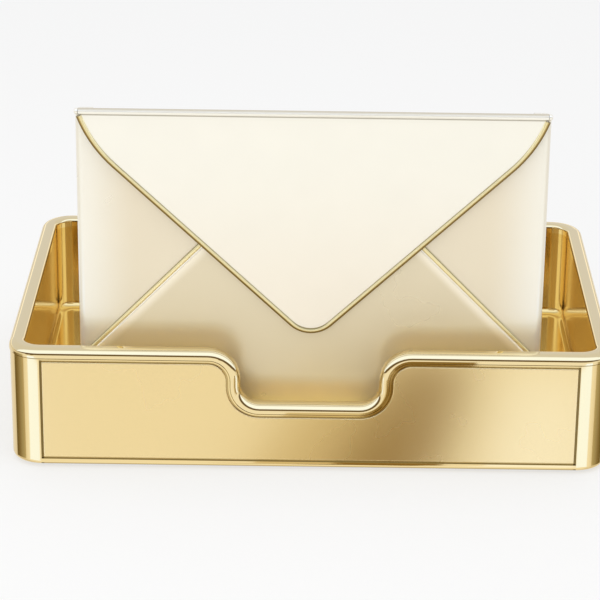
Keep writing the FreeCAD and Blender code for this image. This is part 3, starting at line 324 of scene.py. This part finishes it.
for hand, side_x in (("left", -CARD_SIDE), ("right", CARD_SIDE)):
    flag_outline = (
        (side_x, FLAG_NEAR, FLAG_FOOT), (side_x, FLAG_FAR, FLAG_FOOT),
        (side_x, FLAG_FAR, FLAG_TOP), (side_x, FLAG_NEAR, FLAG_TOP),
    )
    flag_tree, flag_glow, flag_output = stage_card(f"{hand}_flag", flag_outline)
    flag_place = add_node(flag_tree, "ShaderNodeTexCoord", (-5, 0))
    flag_parts = add_node(flag_tree, "ShaderNodeSeparateXYZ", (-4, 0))
    join(flag_tree, flag_place, "Object", flag_parts, "Vector")
    along = add_node(flag_tree, "ShaderNodeMapRange", (-3, 2))
    along.inputs["From Min"].default_value = FLAG_NEAR
    along.inputs["From Max"].default_value = FLAG_FAR
    join(flag_tree, flag_parts, "Y", along, "Value")
    flag_ramp = add_node(flag_tree, "ShaderNodeValToRGB", (-2, 2))
    paint_ramp(flag_ramp, FLAG_TONES)
    join(flag_tree, along, "Result", flag_ramp, "Fac")
    join(flag_tree, flag_ramp, "Color", flag_glow, "Color")
    there = add_node(flag_tree, "ShaderNodeMath", (-1, -1), operation="MULTIPLY")
    for side, (axis, edge) in enumerate((("Y", FLAG_FAR), ("Z", FLAG_TOP))):
        fade = add_node(flag_tree, "ShaderNodeMapRange", (-3, -1 - side), interpolation_type="SMOOTHSTEP")
        fade.inputs["From Min"].default_value = edge - FLAG_SOFT
        fade.inputs["From Max"].default_value = edge
        fade.inputs["To Min"].default_value = 1.0
        fade.inputs["To Max"].default_value = 0.0
        join(flag_tree, flag_parts, axis, fade, "Value")
        join(flag_tree, fade, "Result", there, side)
    clear = add_node(flag_tree, "ShaderNodeBsdfTransparent", (0, -1))
    faded = add_node(flag_tree, "ShaderNodeMixShader", (1, 0))
    join(flag_tree, there, 0, faded, 0)
    join(flag_tree, clear, 0, faded, 1)
    join(flag_tree, flag_glow, 0, faded, 2)
    join(flag_tree, faded, 0, flag_output, "Surface")

# Metal surface, shared by the gold and pearl finishes: faint clouds in the polish, and fine grit
# that speckles the satin and hardly shows in the mirror finish. The grit is rotated, so that it
# doesn't line up with the walls.
CLOUD_SCALE = 22.0
CLOUD_DETAIL = 3.0
GRIT_DETAIL = 1.0
GRIT_TURN = (0.61, 0.37, 0.83)
GRIT_DEPTH = 0.00002
NOISE_MIDDLE = 0.5
surface_group = bpy.data.node_groups.new("metal_surface", "ShaderNodeTree")
for socket_name, socket_kind in (
    ("Place", "NodeSocketVector"), ("Colour", "NodeSocketColor"), ("Gloss", "NodeSocketFloat"),
    ("Cloud", "NodeSocketFloat"), ("Grit Size", "NodeSocketFloat"), ("Grit", "NodeSocketFloat"),
):
    surface_group.interface.new_socket(name=socket_name, in_out="INPUT", socket_type=socket_kind)
for socket_name, socket_kind in (
    ("Colour", "NodeSocketColor"), ("Roughness", "NodeSocketFloat"), ("Normal", "NodeSocketVector"),
):
    surface_group.interface.new_socket(name=socket_name, in_out="OUTPUT", socket_type=socket_kind)
group_in = add_node(surface_group, "NodeGroupInput", (-5, 0))
skewed = add_node(surface_group, "ShaderNodeMapping", (-4, -1))
skewed.inputs["Rotation"].default_value = GRIT_TURN
join(surface_group, group_in, "Place", skewed, "Vector")
group_out = add_node(surface_group, "NodeGroupOutput", (4, 0))
cloud = add_node(surface_group, "ShaderNodeTexNoise", (-3, 2))
cloud.inputs["Scale"].default_value = CLOUD_SCALE
cloud.inputs["Detail"].default_value = CLOUD_DETAIL
join(surface_group, group_in, "Place", cloud, "Vector")
grit = add_node(surface_group, "ShaderNodeTexNoise", (-3, -1))
grit.inputs["Detail"].default_value = GRIT_DETAIL
join(surface_group, skewed, "Vector", grit, "Vector")
join(surface_group, group_in, "Grit Size", grit, "Scale")
centred = add_node(surface_group, "ShaderNodeMath", (-2, 2), operation="SUBTRACT")
centred.inputs[1].default_value = NOISE_MIDDLE
join(surface_group, cloud, "Fac", centred, 0)
spread = add_node(surface_group, "ShaderNodeMath", (-1, 2), operation="MULTIPLY_ADD")
join(surface_group, centred, 0, spread, 0)
join(surface_group, group_in, "Cloud", spread, 1)
join(surface_group, group_in, "Gloss", spread, 2)
join(surface_group, spread, 0, group_out, "Roughness")
speck = add_node(surface_group, "ShaderNodeMath", (-2, 0), operation="SUBTRACT")
speck.inputs[1].default_value = NOISE_MIDDLE
join(surface_group, grit, "Fac", speck, 0)
shade = add_node(surface_group, "ShaderNodeMath", (-1, 0), operation="MULTIPLY_ADD")
shade.inputs[2].default_value = 1.0
join(surface_group, speck, 0, shade, 0)
join(surface_group, group_in, "Grit", shade, 1)
tinted = add_node(surface_group, "ShaderNodeVectorMath", (0, 0), operation="SCALE")
join(surface_group, group_in, "Colour", tinted, 0)
join(surface_group, shade, 0, tinted, "Scale")
join(surface_group, tinted, 0, group_out, "Colour")
relief = add_node(surface_group, "ShaderNodeBump", (0, -2))
relief.inputs["Distance"].default_value = GRIT_DEPTH
join(surface_group, group_in, "Grit", relief, "Strength")
join(surface_group, grit, "Fac", relief, "Height")
join(surface_group, relief, 0, group_out, "Normal")


def new_finish(name, colour, metallic, roughness):
    """A material for one of the object's finishes, with its shader and its coordinates."""
    material = bpy.data.materials.new(name)
    material.use_nodes = True
    tree = material.node_tree
    shader = tree.nodes["Principled BSDF"]
    shader.inputs["Base Color"].default_value = (*colour, 1.0)
    shader.inputs["Metallic"].default_value = metallic
    shader.inputs["Roughness"].default_value = roughness
    place = add_node(tree, "ShaderNodeTexCoord", (-8, 0))
    return material, tree, shader, place


def finish_surface(tree, shader, place, gloss, cloud_amount, grit_size, grit_amount, relief=True):
    """Places the metal surface in a material and joins it to the shader, with or without relief."""
    surface = add_node(tree, "ShaderNodeGroup", (-1, 0), node_tree=surface_group)
    surface.inputs["Colour"].default_value = shader.inputs["Base Color"].default_value
    surface.inputs["Gloss"].default_value = gloss
    surface.inputs["Cloud"].default_value = cloud_amount
    surface.inputs["Grit Size"].default_value = grit_size
    surface.inputs["Grit"].default_value = grit_amount
    join(tree, place, "Object", surface, "Place")
    join(tree, surface, "Colour", shader, "Base Color")
    join(tree, surface, "Roughness", shader, "Roughness")
    if relief:
        join(tree, surface, "Normal", shader, "Normal")
    return surface


def gold(name, colour, roughness, cloud_amount, grit_size, grit_amount):
    """A gold finish with its own colour, gloss and grit."""
    material, tree, shader, place = new_finish(name, colour, 1.0, roughness)
    surface = finish_surface(tree, shader, place, roughness, cloud_amount, grit_size, grit_amount)
    return material, tree, place, surface


# Outer shell: cast in one piece and polished bright, with a thick rounded foot. Shade is painted
# into its colour: a dark painted line round the front panel, darkest at its two ends, and a
# painted shadow line under the rim moulding.
SHELL_GOLD = (0.90, 0.72, 0.38)
LINE_SHADE = (0.54, 0.41, 0.18)
DEEP_LINE_SHADE = (0.22, 0.15, 0.05)
SHADE_SOFT = 0.00005
# How far the line lies behind the shell's face, and how far it reaches past the panel's end.
LINE_SHALLOW = 0.0003
LINE_DEEP = 0.0012
LINE_OUTSIDE = 0.0011
LINE_INSIDE = 0.0001
SHADOW_LINE = 0.0005


def dress(names, material):
    """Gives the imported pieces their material."""
    for name in names:
        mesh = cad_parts[name].data
        mesh.materials.clear()
        mesh.materials.append(material)


def band(tree, source, socket, low, high, soft, place):
    """One where a value lies between two limits, falling to zero over a soft margin."""
    rising = add_node(tree, "ShaderNodeMapRange", place)
    rising.inputs["From Min"].default_value = low - soft
    rising.inputs["From Max"].default_value = low
    falling = add_node(tree, "ShaderNodeMapRange", (place[0], place[1] - 2))
    falling.inputs["From Min"].default_value = high + soft
    falling.inputs["From Max"].default_value = high
    inside = add_node(tree, "ShaderNodeMath", (place[0] + 1, place[1]), operation="MULTIPLY")
    join(tree, source, socket, rising, "Value")
    join(tree, source, socket, falling, "Value")
    join(tree, rising, "Result", inside, 0)
    join(tree, falling, "Result", inside, 1)
    return inside


def tint(tree, mask, below, colour, place):
    """Lays a colour over a plain one, or over another mix, where a mask says so."""
    mix = add_node(tree, "ShaderNodeMix", place, data_type="RGBA")
    mix.inputs[MIX_ABOVE].default_value = (*colour, 1.0)
    join(tree, mask, 0, mix, "Factor")
    if isinstance(below, tuple):
        mix.inputs[MIX_BELOW].default_value = (*below, 1.0)
    else:
        join(tree, below, MIX_COLOUR, mix, MIX_BELOW)
    return mix


shell_material, shell_tree, shell_place, shell_surface = gold(
    "shell_polish", SHELL_GOLD, roughness=0.09, cloud_amount=0.05, grit_size=900.0, grit_amount=0.015
)
shell_low, shell_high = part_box("outer_shell")
panel_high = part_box("front_panel")[1]
shell_parts = add_node(shell_tree, "ShaderNodeSeparateXYZ", (-7, 2))
join(shell_tree, shell_place, "Object", shell_parts, "Vector")
shell_side = add_node(shell_tree, "ShaderNodeMath", (-6, 4), operation="ABSOLUTE")
join(shell_tree, shell_parts, "X", shell_side, 0)
behind_face = band(
    shell_tree, shell_parts, "Y", shell_low[1] + LINE_SHALLOW, shell_low[1] + LINE_DEEP,
    SHADE_SOFT, (-6, 2),
)
beside_panel = band(
    shell_tree, shell_side, 0, 0.0, panel_high[0] + LINE_OUTSIDE, SHADE_SOFT, (-5, 5)
)
in_line = add_node(shell_tree, "ShaderNodeMath", (-4, 3), operation="MULTIPLY")
join(shell_tree, behind_face, 0, in_line, 0)
join(shell_tree, beside_panel, 0, in_line, 1)
under_lip = band(
    shell_tree, shell_parts, "Z", shell_high[2] - SHADOW_LINE, shell_high[2], SHADE_SOFT, (-5, -1)
)
painted_shade_mask = add_node(shell_tree, "ShaderNodeMath", (-3, 2), operation="MAXIMUM")
join(shell_tree, in_line, 0, painted_shade_mask, 0)
join(shell_tree, under_lip, 0, painted_shade_mask, 1)
panel_end = band(
    shell_tree, shell_side, 0, panel_high[0] - LINE_INSIDE, panel_high[0] + LINE_OUTSIDE,
    SHADE_SOFT, (-5, 8),
)
in_end_line = add_node(shell_tree, "ShaderNodeMath", (-3, 6), operation="MULTIPLY")
join(shell_tree, behind_face, 0, in_end_line, 0)
join(shell_tree, panel_end, 0, in_end_line, 1)
# Painted shade: the line round the panel and the band under the rim are darkened, the ends most.
shell_shaded = tint(shell_tree, painted_shade_mask, SHELL_GOLD, LINE_SHADE, (-2, 2))
shell_tint = tint(shell_tree, in_end_line, shell_shaded, DEEP_LINE_SHADE, (-2, 4))
join(shell_tree, shell_tint, MIX_COLOUR, shell_surface, "Colour")
dress(["outer_shell"], shell_material)

# Front panel: a plate let into a recess of the front wall, flush with it. It is blasted to a fine
# satin before it is plated in the shell's gold.
panel_satin = gold(
    "panel_satin", SHELL_GOLD, roughness=0.27, cloud_amount=0.05, grit_size=1100.0, grit_amount=0.07
)[0]
dress(["front_panel"], panel_satin)

# Inner liner: a pan pressed from one sheet, which makes the inside walls and the floor. It is
# polished inside and plated in a deeper gold than the shell.
LINER_GOLD = (0.84, 0.63, 0.26)
liner_polish = gold(
    "liner_polish", LINER_GOLD, roughness=0.13, cloud_amount=0.05, grit_size=900.0, grit_amount=0.03
)[0]
dress(["inner_liner"], liner_polish)

# Rim moulding: the cast lip that caps the gap between shell and liner and follows the finger
# notch. It is polished brightest of all.
RIM_GOLD = (0.90, 0.745, 0.43)
rim_polish = gold(
    "rim_polish", RIM_GOLD, roughness=0.06, cloud_amount=0.03, grit_size=900.0, grit_amount=0.02
)[0]
dress(["rim_moulding"], rim_polish)

# Envelope rail: a brass channel, screwed to the floor behind the front wall, that the envelope
# stands in. It is gold plated, a little paler than the liner.
RAIL_GOLD = (0.86, 0.66, 0.32)
rail_polish = gold(
    "rail_polish", RAIL_GOLD, roughness=0.14, cloud_amount=0.05, grit_size=900.0, grit_amount=0.05
)[0]
dress(["envelope_rail"], rail_polish)

# Piping and seam beads of the envelope: a slit tube over the closing flap's edge and a thin wire
# along each seam, plated in pale gold. Shade and highlight are painted into their colour by how
# far the surface faces up: darker on the flanks, pale between.
PALE_WIRE = (1.00, 0.87, 0.49)
WIRE_METAL = 0.55
PIPING_SHADING = (
    (-0.16, (0.24, 0.15, 0.03)), (0.00, (0.66, 0.52, 0.22)), (0.10, PALE_WIRE),
    (0.34, PALE_WIRE), (0.50, (0.60, 0.49, 0.24)), (0.66, (0.27, 0.21, 0.08)),
)
SEAM_SHADING = ((0.34, PALE_WIRE), (0.62, (0.42, 0.34, 0.14)))
for wire_name, wire_nodes, wire_shading in (
    ("piping_polish", ["flap_piping"], PIPING_SHADING),
    ("seam_polish", ["left_seam_bead", "right_seam_bead"], SEAM_SHADING),
):
    wire_material, wire_tree, wire_place, wire_surface = gold(
        wire_name, PALE_WIRE, roughness=0.30, cloud_amount=0.05, grit_size=1100.0, grit_amount=0.03
    )
    wire_tree.nodes["Principled BSDF"].inputs["Metallic"].default_value = WIRE_METAL
    wire_parts = add_node(wire_tree, "ShaderNodeSeparateXYZ", (-7, 2))
    join(wire_tree, wire_place, "Normal", wire_parts, "Vector")
    facing_up = add_node(wire_tree, "ShaderNodeMapRange", (-5, 2))
    facing_up.inputs["From Min"].default_value = -1.0
    join(wire_tree, wire_parts, "Z", facing_up, "Value")
    # Painted shade and highlight: the colour follows how far the wire faces up.
    wire_shade_ramp = add_node(wire_tree, "ShaderNodeValToRGB", (-4, 2))
    paint_ramp(wire_shade_ramp, [((up + 1.0) / 2.0, tone) for up, tone in wire_shading])
    join(wire_tree, facing_up, "Result", wire_shade_ramp, "Fac")
    join(wire_tree, wire_shade_ramp, "Color", wire_surface, "Colour")
    dress(wire_nodes, wire_material)

# Closing flap: one sheet, rolled along its top into a barrel round the hinge rod, in the same
# cream enamel as the other sheets, painted palest here as painted light. A fine grey line of
# painted shade lies in the crease under the roll, and the top of the roll is painted darker as painted
# shade.
PEARL_METAL = 0.45
PEARL_CLOUDS = 0.05
PEARL_GRIT_SIZE = 60.0
PEARL_GRIT = 0.03
PEARL_COAT = 0.4
PEARL_COAT_ROUGHNESS = 0.12
FLAP_LIT_CREAM = (0.95, 0.925, 0.83)
FLAP_LOW_SHADE = (0.93, 0.86, 0.73)
CREASE_SHADE = (0.50, 0.46, 0.38)
ROLL_TOP_SHADE = (0.66, 0.60, 0.47)
BARREL_RADIUS = 0.0015
# Distances from the hinge's level: the crease shade lies below it, and the shaded top of the roll above it.
CREASE_FOOT = 0.0017
CREASE_TOP = 0.0012
CREASE_SOFT = 0.0002
ROLL_SHADE_FOOT = 0.0008
ROLL_SHADE_TOP = 0.0016
ROLL_SHADE_SOFT = 0.0003


def pearl(name, colour, low_shade_colour, low, high, roughness):
    """Pearl enamel: a partly metallic cream coat, darkened from a high to a low level by painted shade and
    a painted gold reflection of the tray.
    """
    material, tree, shader, place = new_finish(name, colour, PEARL_METAL, roughness)
    parts = add_node(tree, "ShaderNodeSeparateXYZ", (-7, 1))
    join(tree, place, "Object", parts, "Vector")
    level = add_node(tree, "ShaderNodeMapRange", (-6, 1), interpolation_type="SMOOTHSTEP")
    level.inputs["From Min"].default_value = low
    level.inputs["From Max"].default_value = high
    join(tree, parts, "Z", level, "Value")
    low_shading = add_node(tree, "ShaderNodeMix", (-5, 1), data_type="RGBA")
    low_shading.inputs[MIX_BELOW].default_value = (*low_shade_colour, 1.0)
    low_shading.inputs[MIX_ABOVE].default_value = (*colour, 1.0)
    join(tree, level, "Result", low_shading, "Factor")
    surface = finish_surface(
        tree, shader, place, roughness, PEARL_CLOUDS, PEARL_GRIT_SIZE, PEARL_GRIT, relief=False
    )
    join(tree, low_shading, MIX_COLOUR, surface, "Colour")
    shader.inputs["Coat Weight"].default_value = PEARL_COAT
    shader.inputs["Coat Roughness"].default_value = PEARL_COAT_ROUGHNESS
    return material, tree, parts, low_shading, surface


flap_material, flap_tree, flap_parts, flap_tone, flap_surface = pearl(
    "flap_enamel", FLAP_LIT_CREAM, FLAP_LOW_SHADE, low=0.065, high=0.160, roughness=0.30
)
hinge_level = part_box("closing_flap")[1][2] - BARREL_RADIUS
crease = band(
    flap_tree, flap_parts, "Z", hinge_level - CREASE_FOOT, hinge_level - CREASE_TOP,
    CREASE_SOFT, (-4, 3),
)
roll_top = band(
    flap_tree, flap_parts, "Z", hinge_level + ROLL_SHADE_FOOT, hinge_level + ROLL_SHADE_TOP,
    ROLL_SHADE_SOFT, (-4, 6),
)
# Painted shade: a grey line in the crease and a darker top of the roll.
flap_crease_shaded = tint(flap_tree, crease, flap_tone, CREASE_SHADE, (-3, 2))
flap_tint = tint(flap_tree, roll_top, flap_crease_shaded, ROLL_TOP_SHADE, (-2, 2))
join(flap_tree, flap_tint, MIX_COLOUR, flap_surface, "Colour")
dress(["closing_flap"], flap_material)

# Back panel, side flaps and corner caps: a shallow pan, the two sheets wrapped round its sides
# and the caps at the ends of the roll. All have the envelope's cream enamel, painted deeper here
# as painted shade, and a painted highlight pales it towards the rounded edges.
SIDE_SHADED_CREAM = (0.84, 0.75, 0.58)
SIDE_LOW_SHADE = (0.82, 0.73, 0.55)
EDGE_HIGHLIGHT = (0.93, 0.90, 0.80)
HIGHLIGHT_START = 0.080
HIGHLIGHT_END = 0.110
side_material, side_tree, side_parts, side_tone, side_surface = pearl(
    "side_enamel", SIDE_SHADED_CREAM, SIDE_LOW_SHADE, low=0.040, high=0.150, roughness=0.28
)
from_middle = add_node(side_tree, "ShaderNodeMath", (-5, 4), operation="ABSOLUTE")
join(side_tree, side_parts, "X", from_middle, 0)
edge_highlight = add_node(side_tree, "ShaderNodeMapRange", (-4, 4), interpolation_type="SMOOTHSTEP")
edge_highlight.inputs["From Min"].default_value = HIGHLIGHT_START
edge_highlight.inputs["From Max"].default_value = HIGHLIGHT_END
join(side_tree, from_middle, 0, edge_highlight, "Value")
# Painted highlight along the rounded side edges.
side_tint = tint(side_tree, edge_highlight, side_tone, EDGE_HIGHLIGHT, (-2, 2))
join(side_tree, side_tint, MIX_COLOUR, side_surface, "Colour")
dress(
    ["left_side_flap", "right_side_flap", "left_corner_cap", "right_corner_cap", "back_panel"],
    side_material,
)

# Bottom flap: the front of the envelope below the two seams, a sheet with a flange turned in
# beneath. Its enamel is painted the deepest cream of the three as painted shade, with a painted
# highlight along the edges that run up the seams.
BOTTOM_SHADED_CREAM = (0.78, 0.69, 0.50)
BOTTOM_LOW_SHADE = (0.72, 0.62, 0.42)
SEAM_HIGHLIGHT = (0.96, 0.88, 0.71)
SEAM_SLOPE = math.radians(45.6)
SEAM_HIGHLIGHT_START = 0.0055
SEAM_HIGHLIGHT_FULL = 0.0008
bottom_material, bottom_tree, bottom_parts, bottom_tone, bottom_surface = pearl(
    "bottom_enamel", BOTTOM_SHADED_CREAM, BOTTOM_LOW_SHADE, low=0.040, high=0.110, roughness=0.28
)
seam_across, seam_up = math.sin(SEAM_SLOPE), math.cos(SEAM_SLOPE)
seam_reach = max(
    abs(vertex.co.x) * seam_across + vertex.co.z * seam_up
    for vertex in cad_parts["bottom_flap"].data.vertices
)
bottom_side = add_node(bottom_tree, "ShaderNodeMath", (-6, 4), operation="ABSOLUTE")
join(bottom_tree, bottom_parts, "X", bottom_side, 0)
side_share = add_node(bottom_tree, "ShaderNodeMath", (-5, 4), operation="MULTIPLY")
side_share.inputs[1].default_value = seam_across
join(bottom_tree, bottom_side, 0, side_share, 0)
seam_place = add_node(bottom_tree, "ShaderNodeMath", (-4, 4), operation="MULTIPLY_ADD")
seam_place.inputs[1].default_value = seam_up
join(bottom_tree, bottom_parts, "Z", seam_place, 0)
join(bottom_tree, side_share, 0, seam_place, 2)
# Painted highlight along the seam edges.
seam_highlight = add_node(bottom_tree, "ShaderNodeMapRange", (-3, 4), interpolation_type="SMOOTHSTEP")
seam_highlight.inputs["From Min"].default_value = seam_reach - SEAM_HIGHLIGHT_START
seam_highlight.inputs["From Max"].default_value = seam_reach - SEAM_HIGHLIGHT_FULL
join(bottom_tree, seam_place, 0, seam_highlight, "Value")
bottom_tint = tint(bottom_tree, seam_highlight, bottom_tone, SEAM_HIGHLIGHT, (-2, 2))
join(bottom_tree, bottom_tint, MIX_COLOUR, bottom_surface, "Colour")
dress(["bottom_flap"], bottom_material)

# Base plate, screws and hinge rod: plain zinc-plated steel. The plate closes the tray
# underneath, the screws hold the feet, the plate and the rail, and the rod carries the flap.
STEEL_GREY = (0.55, 0.55, 0.54)
MOTTLE_DETAIL = 4.0
DARK_STOP = 0.3
DARK_SHARE = 0.7
PALE_STOP = 0.7
PALE_SHARE = 1.2


def matt(name, colour, metallic, roughness, scale, depth):
    """A plain finish of a hidden piece, mottled and bumped by one noise."""
    material, tree, shader, place = new_finish(name, colour, metallic, roughness)
    mottle = add_node(tree, "ShaderNodeTexNoise", (-4, 0))
    mottle.inputs["Scale"].default_value = scale
    mottle.inputs["Detail"].default_value = MOTTLE_DETAIL
    join(tree, place, "Object", mottle, "Vector")
    tones = add_node(tree, "ShaderNodeValToRGB", (-3, 1))
    dark = [tone * DARK_SHARE for tone in colour]
    pale = [min(tone * PALE_SHARE, 1.0) for tone in colour]
    paint_ramp(tones, ((DARK_STOP, dark), (PALE_STOP, pale)))
    join(tree, mottle, "Fac", tones, "Fac")
    join(tree, tones, "Color", shader, "Base Color")
    relief = add_node(tree, "ShaderNodeBump", (-2, -1))
    relief.inputs["Distance"].default_value = depth
    join(tree, mottle, "Fac", relief, "Height")
    join(tree, relief, 0, shader, "Normal")
    return material


dress(
    ["base_plate", "foot_screws", "base_screws", "rail_screws", "hinge_rod"],
    matt("zinc_steel", STEEL_GREY, metallic=1.0, roughness=0.32, scale=400.0, depth=0.00002),
)

# Feet: black rubber, one near each corner underneath, each held by a screw of its own. The
# tray stands on them.
RUBBER_BLACK = (0.03, 0.03, 0.03)
dress(
    ["front_left_foot", "front_right_foot", "back_left_foot", "back_right_foot"],
    matt("black_rubber", RUBBER_BLACK, metallic=0.0, roughness=0.75, scale=1500.0, depth=0.00005),
)

# Rail felt: thin brown wool, laid in the channel of the envelope's rail. It covers the heads of
# the rail's screws.
FELT_BROWN = (0.16, 0.10, 0.05)
brown_felt = matt("brown_felt", FELT_BROWN, metallic=0.0, roughness=0.95, scale=3000.0, depth=0.0002)
dress(["rail_felt"], brown_felt)

# Floor board: raw fibreboard between the liner's floor and the base plate. It stiffens the floor
# and takes the screws.
BOARD_BROWN = (0.32, 0.21, 0.12)
fibreboard = matt("fibreboard", BOARD_BROWN, metallic=0.0, roughness=0.85, scale=900.0, depth=0.0001)
dress(["floor_board"], fibreboard)
